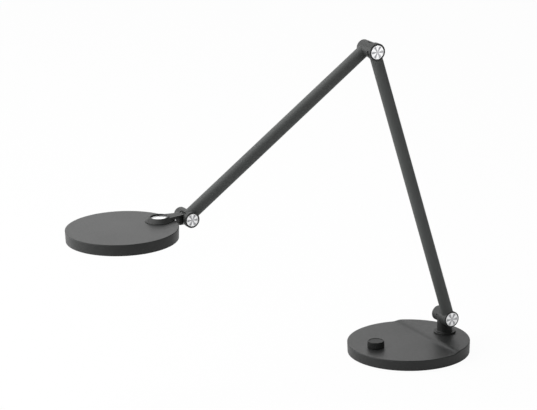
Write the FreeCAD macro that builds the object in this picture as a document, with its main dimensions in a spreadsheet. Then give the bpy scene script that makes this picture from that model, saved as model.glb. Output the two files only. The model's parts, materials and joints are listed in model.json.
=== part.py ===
"""Two-arm LED desk lamp: a weighted round base with a dimmer knob, a swivelling post, two tubular
arms on friction hinges, and a flat round head on a tilting, swivelling neck.

Millimetres, +Z up.  The origin is the centre of the base where it stands on the desk, the arms lie in
the XZ plane, the head reaches towards -X and the bright hinge caps face -Y.
"""
import FreeCAD
import Part
import Sketcher
import os
import re

DIMENSIONS = {
    # Fits that many pieces share
    "seat_clear": 0.05,
    "run_clear": 0.05,
    "face_clear": 0.1,
    "swing_clear": 0.4,
    "overrun": 2.0,
    # Base
    "base_radius": 100.0,
    "base_draft": 0.7,
    "base_lower_top": 18.5,
    "base_step": 2.65,
    "base_edge_round": 1.4,
    "step_setback": 30.5,
    "step_run": 9.0,
    "step_round": 20.0,
    "cover_foot": 1.5,
    "cover_wall": 2.5,
    "cover_roof": 2.5,
    "pad_inset": 6.0,
    "pad_thick": 1.5,
    "pad_rib_width": 2.0,
    "pad_rib_depth": 0.5,
    "plate_thick": 2.0,
    "plate_gap": 0.3,
    "weight_gap": 1.0,
    "weight_height": 11.5,
    "boss_inset": 12.0,
    "boss_radius": 4.0,
    "boss_gap": 0.5,
    "screw_radius": 1.5,
    "screw_head_radius": 2.8,
    "screw_head_height": 1.4,
    "screw_length": 9.0,
    # Electronics in the base
    "board_length": 64.0,
    "board_width": 40.0,
    "board_thick": 1.6,
    "board_shift": 14.0,
    "board_lift": 2.5,
    "board_margin": 4.0,
    "standoff_radius": 2.5,
    "standoff_inset": 4.0,
    "coil_radius": 5.0,
    "coil_height": 4.5,
    "coil_spacing": 13.0,
    "channel_width": 10.0,
    "nut_bay_setback": 16.0,
    "nut_bay_width": 30.0,
    "socket_width": 11.0,
    "socket_height": 10.0,
    "socket_depth": 13.0,
    "socket_nose_radius": 4.1,
    "socket_nose_setback": 0.5,
    "socket_bore_radius": 3.0,
    "socket_bore_depth": 9.5,
    "socket_pin_radius": 1.0,
    # Dimmer knob and its encoder
    "knob_inset": 38.0,
    "knob_radius": 13.8,
    "knob_height": 10.9,
    "knob_draft": 0.4,
    "knob_edge": 0.8,
    "knob_dish": 0.5,
    "knob_wall": 2.2,
    "knob_gap": 0.7,
    "knob_hub_radius": 5.5,
    "knob_hub_rise": 1.6,
    "knob_shaft_radius": 3.0,
    "encoder_width": 13.0,
    "encoder_height": 6.5,
    "encoder_wall": 1.2,
    "encoder_neck_radius": 4.4,
    "rotor_radius": 4.9,
    # Swivelling post
    "post_inset": 30.5,
    "post_radius": 12.4,
    "flange_radius": 18.2,
    "flange_thick": 2.6,
    "flange_edge": 0.8,
    "swivel_tube_radius": 8.0,
    "swivel_tube_wall": 3.0,
    "swivel_tube_depth": 12.0,
    "bush_wall": 3.0,
    "bush_lip": 2.0,
    "bush_lip_thick": 1.5,
    "swivel_washer_thick": 1.0,
    "swivel_nut_height": 4.0,
    "swivel_nut_radius": 11.5,
    # Hinges at the post and the elbow
    "base_pivot_z": 48.8,
    "hinge_front": 22.0,
    "post_front_radius": 13.2,
    "post_back_radius": 12.2,
    "post_hinge_back": 20.3,
    "post_seam": 2.0,
    "post_cap_rim": 1.8,
    "elbow_front_radius": 14.0,
    "elbow_back_radius": 12.4,
    "elbow_hinge_back": 21.4,
    "elbow_seam": 11.5,
    "elbow_cap_rim": 2.6,
    "seam_gap": 0.4,
    "hinge_edge": 0.5,
    "cap_thick": 2.2,
    "cap_crown": 0.5,
    "back_cap_rim": 1.6,
    "back_cap_recess": 0.6,
    "flute_depth": 0.4,
    "flute_inner_width": 0.6,
    "flute_outer_width": 2.4,
    "flute_inner_radius": 2.0,
    "flute_margin": 1.2,
    "bolt_radius": 4.0,
    "bolt_head_radius": 7.0,
    "bolt_head_height": 2.2,
    "bolt_pocket_radius": 8.5,
    "bolt_pocket_depth": 4.2,
    "cone_washer_thick": 0.8,
    "cone_washer_rise": 0.5,
    "nut_height": 4.5,
    "nut_radius": 7.4,
    "nut_pocket_depth": 5.4,
    "friction_inset": 2.6,
    "friction_thick": 2.0,
    "set_screw_radius": 1.5,
    "set_screw_y": 5.4,
    "set_screw_z": 2.7,
    "set_screw_length": 4.0,
    "set_screw_depth": 5.5,
    "stop_slot_angle": 99.0,
    "stop_slot_y": 1.5,
    "stop_slot_length": 11.0,
    "stop_slot_width": 2.2,
    "stop_slot_depth": 3.0,
    "lead_notch_angle": 184.0,
    "lead_notch_length": 5.6,
    "lead_notch_width": 7.4,
    "lead_notch_depth": 4.2,
    # Arms
    "arm_offset": 12.0,
    "lower_tube_radius": 9.8,
    "upper_tube_radius": 10.2,
    "tube_wall": 1.5,
    "tube_joint_gap": 0.2,
    "spigot_length": 16.0,
    "wire_radius": 2.0,
    "wire_clear": 0.2,
    "wire_start": 9.0,
    "lower_length": 486.8,
    "lower_lean": 16.97,
    "upper_length": 395.05,
    "upper_drop": 35.18,
    # Head hinge
    "head_front_radius": 12.5,
    "head_back_radius": 11.2,
    "head_hinge_front": 17.8,
    "head_hinge_back": 23.4,
    "head_hinge_step": 10.4,
    "head_cap_rim": 2.3,
    "fork_slot": 17.6,
    "fork_floor": 1.6,
    "head_cap_thick": 2.0,
    "head_bolt_radius": 3.0,
    "head_bolt_head_radius": 5.5,
    "head_bolt_head_height": 2.4,
    "head_pocket_radius": 7.2,
    "head_pocket_depth": 3.4,
    "head_nut_radius": 6.2,
    "head_nut_height": 2.6,
    "thrust_washer_thick": 1.0,
    # Neck
    "head_droop": 0.91,
    "head_rise": 3.0,
    "boss_reach": 48.5,
    "neck_boss_radius": 22.0,
    "neck_boss_top_radius": 15.6,
    "neck_boss_height": 6.8,
    "neck_cap_radius": 13.3,
    "neck_cap_recess": 2.4,
    "neck_cap_thick": 1.2,
    "neck_gap": 0.15,
    "neck_round": 0.7,
    "neck_root_x": 6.0,
    "neck_root_width": 27.0,
    "neck_root_top": 5.5,
    "neck_end_top": 4.9,
    "neck_lift": 0.5,
    "neck_end_width": 12.4,
    "neck_block_length": 10.0,
    "neck_block_start": 32.0,
    "neck_block_drop": 11.2,
    "neck_drum_radius": 8.8,
    "swivel_pin_radius": 4.0,
    "swivel_head_radius": 6.0,
    "swivel_head_height": 1.5,
    "swivel_head_clear": 0.3,
    # Head
    "head_radius": 87.3,
    "head_draft": 0.7,
    "head_thick": 17.6,
    "head_edge_round": 1.0,
    "head_wall": 2.2,
    "head_roof": 2.0,
    "swivel_inset": 23.5,
    "head_boss_radius": 9.0,
    "head_boss_depth": 5.0,
    "lock_washer_thick": 0.8,
    "lock_nut_height": 3.2,
    "lock_nut_radius": 7.0,
    "light_board_inset": 6.0,
    "light_board_thick": 1.6,
    "light_board_cutout": 12.0,
    "chip_size": 3.2,
    "chip_height": 0.8,
    "chip_margin": 10.0,
    "diffuser_thick": 2.0,
    "diffuser_ledge": 2.0,
    "diffuser_seat": 3.2,
    "ring_width": 2.4,
    "ring_thick": 1.0,
}
CAP_FLUTES = 6
BASE_SCREWS = 4
FIRST_SCREW_ANGLE = 45
CHIPS_PER_RING = (6, 12, 18, 24)
NUT_SIDES = 6
FULL_TURN = 360

document = FreeCAD.newDocument("desk_lamp")
sheet = document.addObject("Spreadsheet::Sheet", "dims")
for row, (name, size) in enumerate(DIMENSIONS.items(), start=1):
    sheet.set(f"A{row}", name)
    sheet.set(f"B{row}", str(size))
    sheet.setAlias(f"B{row}", name)
document.recompute()


def cells(text):
    """The expression with each dimension's name turned into a reference to its cell."""
    return re.sub(r"[a-z][a-z_]*", lambda m: f"dims.{m[0]}" if m[0] in DIMENSIONS else m[0], text)


def value(text):
    """What an expression in dimension names comes to now."""
    return float(sheet.evalExpression(cells(text)))


# Heights and places that several pieces share
PLATE_TOP = "(pad_thick + plate_thick)"
COVER_BORE = "(base_radius - base_draft - cover_wall)"
RAISED_TOP = "(base_lower_top + base_step)"
ROOF = "(base_lower_top - cover_roof)"
POST_X = "(base_radius - post_inset)"
KNOB_X = "(knob_inset - base_radius)"
BOARD_TOP = f"({PLATE_TOP} + board_lift + board_thick)"
ELBOW_X = f"({POST_X} - lower_length * sin(lower_lean))"
ELBOW_Z = "(base_pivot_z + lower_length * cos(lower_lean))"
HEAD_X = f"({ELBOW_X} - upper_length * cos(upper_drop))"
HEAD_Z = f"({ELBOW_Z} - upper_length * sin(upper_drop))"
DIFFUSER_RADIUS = "(head_radius - head_draft - head_wall - ring_width)"
SWIVEL_REACH = "(head_radius - swivel_inset)"


def neck_frame(reach):
    """A frame on the top plane of the head, tilted with it, so far from the head hinge."""
    x = f"{HEAD_X} - ({reach}) * cos(head_droop) - head_rise * sin(head_droop)"
    z = f"{HEAD_Z} - ({reach}) * sin(head_droop) + head_rise * cos(head_droop)"
    return (x, "arm_offset", z, "-head_droop")


# Frames: where a piece's own origin lies, and its turn about Y
DESK = ("0", "0", "0", "0")
KNOB = (KNOB_X, "0", "0", "0")
POST_FOOT = (POST_X, "0", "0", "0")
POST = (POST_X, "0", "base_pivot_z", "0")
LOWER_ARM = (POST_X, "0", "base_pivot_z", "-lower_lean")
LOWER_END = (ELBOW_X, "0", ELBOW_Z, "-lower_lean")
ELBOW = (ELBOW_X, "0", ELBOW_Z, "0")
UPPER_ARM = (ELBOW_X, "0", ELBOW_Z, "-90 - upper_drop")
UPPER_END = (HEAD_X, "arm_offset", HEAD_Z, "-90 - upper_drop")
HEAD_HINGE = (HEAD_X, "arm_offset", HEAD_Z, "0")
NECK = neck_frame("boss_reach")
HEAD = neck_frame(f"boss_reach + {SWIVEL_REACH}")
INLET = (f"sqrt(({COVER_BORE}) ^ 2 - (socket_width / 2) ^ 2) - seat_clear", "0",
         f"{PLATE_TOP} + socket_height / 2", "0")

# A turned outline is drawn as (radius, height) about Z, or as (place on the axis, radius) about Y or X
ABOUT_Z = ("XZ_Plane", "V_Axis")
ABOUT_Y = ("YZ_Plane", "H_Axis")
ABOUT_X = ("XZ_Plane", "H_Axis")

subparts = {}


def place(piece, frame):
    """Bind a piece's placement to its frame."""
    piece.Placement = FreeCAD.Placement(FreeCAD.Vector(), FreeCAD.Rotation(FreeCAD.Vector(0, 1, 0), 1))
    for axis, text in zip("xyz", frame):
        piece.setExpression(f"Placement.Base.{axis}", cells(text))
    piece.setExpression("Placement.Rotation.Angle", cells(frame[3]))


def keep(piece, label):
    """Name a finished piece as a sub-part."""
    piece.Label = label
    subparts[label] = piece
    return piece


def new_body(label, frame):
    body = document.addObject("PartDesign::Body", label)
    place(body, frame)
    return keep(body, label)


def origin_feature(body, role):
    return next(item for item in body.Origin.OriginFeatures if item.Role == role)


def new_sketch(body, plane, offset):
    sketch = body.newObject("Sketcher::SketchObject", f"{body.Name}_sketch")
    sketch.AttachmentSupport = [(origin_feature(body, plane), "")]
    sketch.MapMode = "FlatFace"
    sketch.setExpression("AttachmentOffset.Base.z", cells(offset))
    return sketch


def pin_point(sketch, geometry, which, across, along):
    """Hold a sketch point at two distances from the sketch's origin."""
    for kind, text in (("DistanceX", across), ("DistanceY", along)):
        index = sketch.addConstraint(Sketcher.Constraint(kind, -1, 1, geometry, which, value(text)))
        sketch.setExpression(f"Constraints[{index}]", cells(text))


def outline(body, plane, points, offset="0"):
    """A closed outline of straight sides through points given as expressions."""
    sketch = new_sketch(body, plane, offset)
    corners = [FreeCAD.Vector(value(across), value(along), 0) for across, along in points]
    count = len(points)
    for i in range(count):
        sketch.addGeometry(Part.LineSegment(corners[i], corners[(i + 1) % count]), False)
    for i in range(count):
        sketch.addConstraint(Sketcher.Constraint("Coincident", i, 2, (i + 1) % count, 1))
    for i, (across, along) in enumerate(points):
        pin_point(sketch, i, 1, across, along)
    return sketch


def rectangle(body, plane, low, high, offset="0"):
    corners = [(low[0], low[1]), (high[0], low[1]), (high[0], high[1]), (low[0], high[1])]
    return outline(body, plane, corners, offset)


def circles(body, plane, centres, radius, offset="0"):
    """One or more equal circles in one sketch."""
    sketch = new_sketch(body, plane, offset)
    for i, (across, along) in enumerate(centres):
        middle = FreeCAD.Vector(value(across), value(along), 0)
        sketch.addGeometry(Part.Circle(middle, FreeCAD.Vector(0, 0, 1), value(radius)), False)
        pin_point(sketch, i, 3, across, along)
        index = sketch.addConstraint(Sketcher.Constraint("Radius", i, value(radius)))
        sketch.setExpression(f"Constraints[{index}]", cells(radius))
    return sketch


def revolve(body, about, points, cut=False):
    """Turn an outline about an axis, as added material or as a cut."""
    plane, axis = about
    sketch = outline(body, plane, points)
    kind = "PartDesign::Groove" if cut else "PartDesign::Revolution"
    feature = body.newObject(kind, f"{body.Name}_turned")
    feature.Profile = sketch
    feature.ReferenceAxis = (sketch, [axis])
    feature.Angle = FULL_TURN
    return feature


def pad(body, sketch, length, both_ways=False):
    feature = body.newObject("PartDesign::Pad", f"{body.Name}_pad")
    feature.Profile = sketch
    feature.Midplane = both_ways
    feature.setExpression("Length", cells(length))
    return feature


def pocket(body, sketch, depth):
    """Cut a sketch to a depth on both sides of its plane."""
    feature = body.newObject("PartDesign::Pocket", f"{body.Name}_pocket")
    feature.Profile = sketch
    feature.Midplane = True
    feature.setExpression("Length", cells(f"2 * ({depth})"))
    return feature


def polar_pattern(body, feature, axis, count):
    pattern = body.newObject("PartDesign::PolarPattern", f"{body.Name}_pattern")
    pattern.Originals = [feature]
    pattern.Axis = (origin_feature(body, axis), [""])
    pattern.Angle = FULL_TURN
    pattern.Occurrences = count
    body.Tip = pattern
    return pattern


def round_edges(body, radius, wanted):
    """Fillet the edges of a body that a test picks."""
    document.recompute()
    tip = body.Tip
    names = [f"Edge{i}" for i, edge in enumerate(tip.Shape.Edges, start=1) if wanted(edge)]
    fillet = body.newObject("PartDesign::Fillet", f"{body.Name}_round")
    fillet.Base = (tip, names)
    fillet.setExpression("Radius", cells(radius))
    return fillet


def turned(label, frame, about, points):
    """A piece that is one turned outline."""
    body = new_body(label, frame)
    revolve(body, about, points)
    return body


def ring(label, frame, about, inner, outer, low, high):
    """A plain ring, washer or bush between two radii and two places on its axis."""
    radii = (inner, outer)
    if about is ABOUT_Z:
        points = [(radii[0], low), (radii[1], low), (radii[1], high), (radii[0], high)]
    else:
        points = [(low, radii[0]), (low, radii[1]), (high, radii[1]), (high, radii[0])]
    return turned(label, frame, about, points)


def hexagon(radius):
    return [(f"{radius} * cos({FULL_TURN / NUT_SIDES * i})", f"{radius} * sin({FULL_TURN / NUT_SIDES * i})")
            for i in range(NUT_SIDES)]


def hex_nut(label, frame, plane, radius, bore, low, height):
    """A six-sided nut on a plane's normal, from a place on that normal."""
    body = new_body(label, frame)
    pad(body, outline(body, plane, hexagon(radius), low), height)
    pocket(body, circles(body, plane, [("0", "0")], bore, low), f"{height} + overrun")
    return body


def around(ring_radius, count, first_angle=0):
    """Places evenly spread on a circle."""
    angles = [first_angle + FULL_TURN / count * i for i in range(count)]
    return [(f"({ring_radius}) * cos({angle})", f"({ring_radius}) * sin({angle})") for angle in angles]


def make_base_cover():
    """The moulded top shell: a shallow drum whose rear segment stands a step higher."""
    body = new_body("base_cover", DESK)
    revolve(body, ABOUT_Z, [("0", "cover_foot"), ("base_radius - base_draft", "cover_foot"),
                            ("base_radius", RAISED_TOP), ("0", RAISED_TOP)])
    step_end = f"{POST_X} - step_setback"
    above = f"{RAISED_TOP} + overrun"
    beyond = "-base_radius - overrun"
    front = outline(body, "XZ_Plane", [(beyond, "base_lower_top"),
                                       (f"{step_end} - step_run", "base_lower_top"),
                                       (step_end, RAISED_TOP), (step_end, above), (beyond, above)])
    pocket(body, front, "base_radius + overrun")
    half_way = value("(cover_foot + base_lower_top) / 2")
    rim = value("base_radius - base_draft") - value("overrun")

    def step_line(edge):
        return edge.BoundBox.ZMin > half_way and edge.Curve.TypeId == "Part::GeomLine"

    def top_rim(edge):
        middle = edge.valueAt((edge.FirstParameter + edge.LastParameter) / 2)
        return edge.BoundBox.ZMin > half_way and FreeCAD.Vector(middle.x, middle.y, 0).Length > rim

    round_edges(body, "step_round", step_line)
    round_edges(body, "base_edge_round", top_rim)
    revolve(body, ABOUT_Z, [("0", "cover_foot - overrun"), (COVER_BORE, "cover_foot - overrun"),
                            (COVER_BORE, ROOF), ("0", ROOF)], cut=True)
    bosses = around("base_radius - boss_inset", BASE_SCREWS, FIRST_SCREW_ANGLE)
    pad(body, circles(body, "XY_Plane", bosses, "boss_radius", PLATE_TOP), f"{ROOF} - {PLATE_TOP}")
    pocket(body, circles(body, "XY_Plane", bosses, "screw_radius + seat_clear", PLATE_TOP), "screw_length")
    bush = "swivel_tube_radius + bush_wall + seat_clear"
    pocket(body, circles(body, "XY_Plane", [(POST_X, "0")], bush, RAISED_TOP),
           f"{RAISED_TOP} - {ROOF} + overrun")
    neck = "encoder_neck_radius + seat_clear"
    pocket(body, circles(body, "XY_Plane", [(KNOB_X, "0")], neck, "base_lower_top"), "cover_roof + overrun")
    inlet = circles(body, "YZ_Plane", [("0", INLET[2])], "socket_nose_radius + seat_clear", "base_radius")
    pocket(body, inlet, "cover_wall + base_draft + overrun")


def make_base():
    """What closes, weighs down and stands under the cover."""
    pad_radius = "base_radius - pad_inset"
    body = turned("base_pad", DESK, ABOUT_Z, [("0", "0"), (pad_radius, "0"), (pad_radius, "pad_thick"),
                                              ("0", "pad_thick")])
    rib = f"{pad_radius} - 2 * pad_rib_width"
    revolve(body, ABOUT_Z, [(f"{rib} - pad_rib_width", "-overrun"), (rib, "-overrun"),
                            (rib, "pad_rib_depth"),
                            (f"{rib} - pad_rib_width", "pad_rib_depth")], cut=True)

    plate_radius = f"{COVER_BORE} - plate_gap"
    body = turned("base_plate", DESK, ABOUT_Z, [("0", "pad_thick"), (plate_radius, "pad_thick"),
                                                (plate_radius, PLATE_TOP), ("0", PLATE_TOP)])
    across = "(board_length / 2 - standoff_inset)"
    along = "(board_width / 2 - standoff_inset)"
    corners = [(f"{KNOB_X} + board_shift {i} {across}", f"0 {j} {along}") for i in "+-" for j in "+-"]
    pad(body, circles(body, "XY_Plane", corners, "standoff_radius", PLATE_TOP), "board_lift")
    holes = around("base_radius - boss_inset", BASE_SCREWS, FIRST_SCREW_ANGLE)
    pocket(body, circles(body, "XY_Plane", holes, "screw_radius + seat_clear", PLATE_TOP),
           "plate_thick + overrun")
    pocket(body, circles(body, "XY_Plane", holes, "screw_head_radius + seat_clear", "pad_thick"),
           "screw_head_height + seat_clear")

    body = new_body("base_weight", DESK)
    weight_radius = f"{COVER_BORE} - weight_gap"
    revolve(body, ABOUT_Z, [("0", PLATE_TOP), (weight_radius, PLATE_TOP),
                            (weight_radius, f"{PLATE_TOP} + weight_height"),
                            ("0", f"{PLATE_TOP} + weight_height")])
    bay = ("board_width / 2 + board_margin", "nut_bay_width / 2", "channel_width / 2")
    bay_start = f"{KNOB_X} + board_shift - board_length / 2 - board_margin"
    bay_end = f"{KNOB_X} + board_shift + board_length / 2 + board_margin"
    nut_start = f"{POST_X} - nut_bay_setback"
    side = [(bay_start, bay[0]), (bay_end, bay[0]), (bay_end, bay[2]), (nut_start, bay[2]),
            (nut_start, bay[1]),
            ("base_radius", bay[1])]
    other_side = [(x, f"-({y})") for x, y in reversed(side)]
    pocket(body, outline(body, "XY_Plane", side + other_side, PLATE_TOP), "weight_height + overrun")
    pocket(body, circles(body, "XY_Plane", holes, "boss_radius + boss_gap", PLATE_TOP),
           "weight_height + overrun")

    screws = []
    for i, (x, y) in enumerate(holes):
        shank = document.addObject("Part::Cylinder", f"screw_shank_{i}")
        head = document.addObject("Part::Cylinder", f"screw_head_{i}")
        for cylinder, radius, height in ((shank, "screw_radius", "plate_thick + screw_length - seat_clear"),
                                         (head, "screw_head_radius", "screw_head_height")):
            place(cylinder, (x, y, "pad_thick", "0"))
            cylinder.setExpression("Radius", cells(radius))
            cylinder.setExpression("Height", cells(height))
        screw = document.addObject("Part::Fuse", f"screw_{i}")
        screw.Base = shank
        screw.Tool = head
        screws.append(screw)
    group = document.addObject("Part::Compound", "base_screws")
    group.Links = screws
    keep(group, "base_screws")


def make_electronics():
    """The dimmer board, the power inlet and the rotary encoder under the knob."""
    body = new_body("driver_board", KNOB)
    low = ("board_shift - board_length / 2", "-board_width / 2")
    high = ("board_shift + board_length / 2", "board_width / 2")
    pad(body, rectangle(body, "XY_Plane", low, high, f"{PLATE_TOP} + board_lift"), "board_thick")
    coil_x = "board_shift + board_length / 4"
    coils = [(coil_x, "-coil_spacing / 2"), (coil_x, "coil_spacing / 2")]
    pad(body, circles(body, "XY_Plane", coils, "coil_radius", BOARD_TOP), "coil_height")

    body = new_body("dc_socket", INLET)
    low = ("-socket_width / 2", "-socket_height / 2")
    high = ("socket_width / 2", "socket_height / 2")
    pad(body, rectangle(body, "YZ_Plane", low, high, "-socket_depth"), "socket_depth")
    nose = f"base_radius - base_draft - socket_nose_setback - ({INLET[0]})"
    revolve(body, ABOUT_X, [("-socket_depth / 2", "0"), ("-socket_depth / 2", "socket_nose_radius"),
                            (nose, "socket_nose_radius"), (nose, "0")])
    deep = f"{nose} - socket_bore_depth"
    revolve(body, ABOUT_X, [(deep, "socket_pin_radius"), (deep, "socket_bore_radius"),
                            (f"{nose} + overrun", "socket_bore_radius"),
                            (f"{nose} + overrun", "socket_pin_radius")],
            cut=True)

    body = new_body("encoder_body", KNOB)
    half = "encoder_width / 2"
    encoder_top = f"{BOARD_TOP} + encoder_height"
    pad(body, rectangle(body, "XY_Plane", (f"-{half}", f"-{half}"), (half, half), BOARD_TOP),
        "encoder_height")
    revolve(body, ABOUT_Z, [("0", BOARD_TOP), ("encoder_neck_radius", BOARD_TOP),
                            ("encoder_neck_radius", "base_lower_top"), ("0", "base_lower_top")])
    chamber = "rotor_radius + face_clear"
    bore = "knob_shaft_radius + 2 * run_clear"
    ceiling = f"{encoder_top} - encoder_wall"
    revolve(body, ABOUT_Z, [("0", f"{BOARD_TOP} - overrun"), (chamber, f"{BOARD_TOP} - overrun"),
                            (chamber, ceiling),
                            (bore, ceiling), (bore, "base_lower_top + overrun"),
                            ("0", "base_lower_top + overrun")],
            cut=True)
    ring("encoder_rotor", KNOB, ABOUT_Z, "knob_shaft_radius + run_clear", "rotor_radius",
         f"{BOARD_TOP} + face_clear", f"{ceiling} - face_clear")


def make_knob():
    """The push and turn knob: a shallow turned cup on a plain shaft."""
    foot = "base_lower_top + knob_gap"
    top = "base_lower_top + knob_height"
    inside = "knob_radius - knob_wall"
    bore = "knob_shaft_radius + seat_clear"
    shaft_top = f"{top} - knob_wall"
    turned("knob_cap", KNOB, ABOUT_Z, [
        (bore, f"{foot} + knob_hub_rise"), ("knob_hub_radius", f"{foot} + knob_hub_rise"),
        ("knob_hub_radius", shaft_top), (inside, shaft_top), (inside, foot), ("knob_radius", foot),
        ("knob_radius - knob_draft", f"{top} - knob_edge"), ("knob_radius - knob_draft - knob_edge", top),
        (inside, top), (f"{inside} - knob_dish", f"{top} - knob_dish"), ("0", f"{top} - knob_dish"),
        ("0", shaft_top), (bore, shaft_top)])
    shaft = turned("knob_shaft", KNOB, ABOUT_Z, [
        ("0", f"{BOARD_TOP} + knob_gap"), ("knob_shaft_radius", f"{BOARD_TOP} + knob_gap"),
        ("knob_shaft_radius", shaft_top), ("0", shaft_top)])
    return shaft


def make_swivel():
    """The bush in the cover, and the hollow tube with its washer and nut that hold the post down."""
    tube = "swivel_tube_radius"
    bush_bottom = f"{ROOF} - bush_lip_thick"
    bush_outer = f"{tube} + bush_wall"
    turned("swivel_bush", POST_FOOT, ABOUT_Z, [
        (f"{tube} + run_clear", bush_bottom), (f"{bush_outer} + bush_lip", bush_bottom),
        (f"{bush_outer} + bush_lip", ROOF),
        (bush_outer, ROOF), (bush_outer, RAISED_TOP), (f"{tube} + run_clear", RAISED_TOP)])
    washer_low = f"({bush_bottom} - face_clear - swivel_washer_thick)"
    ring("swivel_washer", POST_FOOT, ABOUT_Z, f"{tube} + seat_clear", f"{bush_outer} + bush_lip",
         washer_low, f"{bush_bottom} - face_clear")
    nut_low = f"{washer_low} - swivel_nut_height"
    hex_nut("swivel_nut", POST_FOOT, "XY_Plane", "swivel_nut_radius", f"{tube} + seat_clear", nut_low,
            "swivel_nut_height")
    ring("swivel_tube", POST_FOOT, ABOUT_Z, f"{tube} - swivel_tube_wall", tube, nut_low,
         f"{RAISED_TOP} + face_clear + swivel_tube_depth")


def turned_drum(body, low, high, radius):
    """A plain barrel about Y with its two edges broken."""
    revolve(body, ABOUT_Y, [(low, "0"), (low, f"{radius} - hinge_edge"), (f"{low} + hinge_edge", radius),
                            (f"{high} - hinge_edge", radius), (high, f"{radius} - hinge_edge"),
                            (high, "0")])


def front_face(hinge):
    """Where a hinge's front half ends at its seam."""
    return f"(-{hinge}_seam - seam_gap / 2)"


def back_face(hinge):
    """Where a hinge's back half begins at its seam."""
    return f"(seam_gap / 2 - {hinge}_seam)"


def friction_seat(body, hinge, face, way):
    """The shallow recess in a half's inner face that takes its side of the friction disc."""
    radius = f"{hinge}_back_radius - friction_inset + swing_clear"
    floor = f"{way} * friction_thick / 2 - {hinge}_seam"
    mouth = f"{face} - {way} * overrun"
    revolve(body, ABOUT_Y, [(mouth, "0"), (mouth, radius), (floor, radius), (floor, "0")], cut=True)


def hinge_bores(body, inner_end, hole, pocket_floor, pocket_radius, seat, cap_radius, end):
    """Cut a half's bolt hole, the pocket for the bolt's head or nut, and the cap's seat."""
    wide = f"{cap_radius} + seat_clear"
    revolve(body, ABOUT_Y, [(inner_end, "0"), (inner_end, hole), (pocket_floor, hole),
                            (pocket_floor, pocket_radius),
                            (seat, pocket_radius), (seat, wide), (end, wide), (end, "0")], cut=True)


def spigot_for(body, side, tube_radius, length, way, lead_start):
    """The plug that an arm's tube slides over, bored for the lead; way is its direction along Z."""
    middle = [("0", f"{side} * arm_offset")]
    plug = pad(body, circles(body, "XY_Plane", middle, f"{tube_radius} - tube_wall - seat_clear"), length)
    plug.Reversed = way < 0
    end = f"{way} * ({length})"
    pocket(body, circles(body, "XY_Plane", middle, "wire_radius + wire_clear", end),
           f"{length} - {lead_start}")


def radial_slot(body, angle, radius, width, depth, middle, length):
    """A slot along Y, cut radially into a barrel at an angle in the arm's own frame."""
    def corner(reach, half_width):
        across = f"({reach}) * cos({angle}) - ({half_width}) * sin({angle})"
        along = f"({reach}) * sin({angle}) + ({half_width}) * cos({angle})"
        return across, along

    inner = f"{radius} - {depth}"
    outer = f"{radius} + overrun"
    corners = [corner(inner, f"-{width} / 2"), corner(outer, f"-{width} / 2"),
               corner(outer, f"{width} / 2"), corner(inner, f"{width} / 2")]
    pocket(body, outline(body, "XZ_Plane", corners, f"-({middle})"), f"{length} / 2")


def front_knuckle(label, frame, hinge, way, lead_start):
    """The lower arm's half of a hinge, in front of the seam, with the bolt turning in it."""
    body = new_body(label, frame)
    face = front_face(hinge)
    radius = f"{hinge}_front_radius"
    turned_drum(body, "-hinge_front", face, radius)
    spigot_for(body, -1, "lower_tube_radius", f"{radius} + spigot_length", way, lead_start)
    swept = f"{hinge}_back_radius + swing_clear"
    revolve(body, ABOUT_Y, [(face, "0"), (face, swept), ("hinge_front", swept), ("hinge_front", "0")],
            cut=True)
    friction_seat(body, hinge, face, -1)
    seat = "cap_thick - hinge_front"
    hinge_bores(body, "0", "bolt_radius + run_clear", f"{seat} + bolt_pocket_depth", "bolt_pocket_radius",
                seat,
                f"{radius} - {hinge}_cap_rim", "-hinge_front - overrun")
    return body


def back_bores(body, hinge):
    """The bores of a hinge half behind the seam: bolt hole, nut pocket and the seat of the plain cap."""
    friction_seat(body, hinge, back_face(hinge), 1)
    seat = f"{hinge}_hinge_back - cap_thick"
    hinge_bores(body, f"-{hinge}_seam - overrun", "bolt_radius + seat_clear", f"{seat} - nut_pocket_depth",
                "bolt_pocket_radius", seat, f"{hinge}_back_radius - back_cap_rim",
                f"{hinge}_hinge_back + overrun")


def fluted_cap(label, frame, radius, end, thick):
    """A bright cap in the front end of a barrel, with tapering flutes raying from its middle."""
    body = new_body(label, frame)
    seat = f"{thick} - {end}"
    revolve(body, ABOUT_Y, [(seat, "0"), (seat, radius), (f"cap_crown - {end}", radius),
                            (f"-{end}", f"{radius} - cap_crown"), (f"-{end}", "0")])
    tip = f"{radius} - flute_margin"
    flute = outline(body, "XZ_Plane", [
        ("flute_inner_radius", "-flute_inner_width / 2"), (tip, "-flute_outer_width / 2"),
        (tip, "flute_outer_width / 2"), ("flute_inner_radius", "flute_inner_width / 2")], end)
    polar_pattern(body, pocket(body, flute, "flute_depth"), "Y_Axis", CAP_FLUTES)
    return body


def plain_cap(label, frame, radius, end, thick):
    """A dark cap sunk a little into the back end of a barrel."""
    seat = f"{end} - {thick}"
    face = f"{end} - back_cap_recess"
    return turned(label, frame, ABOUT_Y, [(seat, "0"), (seat, radius), (f"{face} - cap_crown", radius),
                                          (face, f"{radius} - cap_crown"), (face, "0")])


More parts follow.
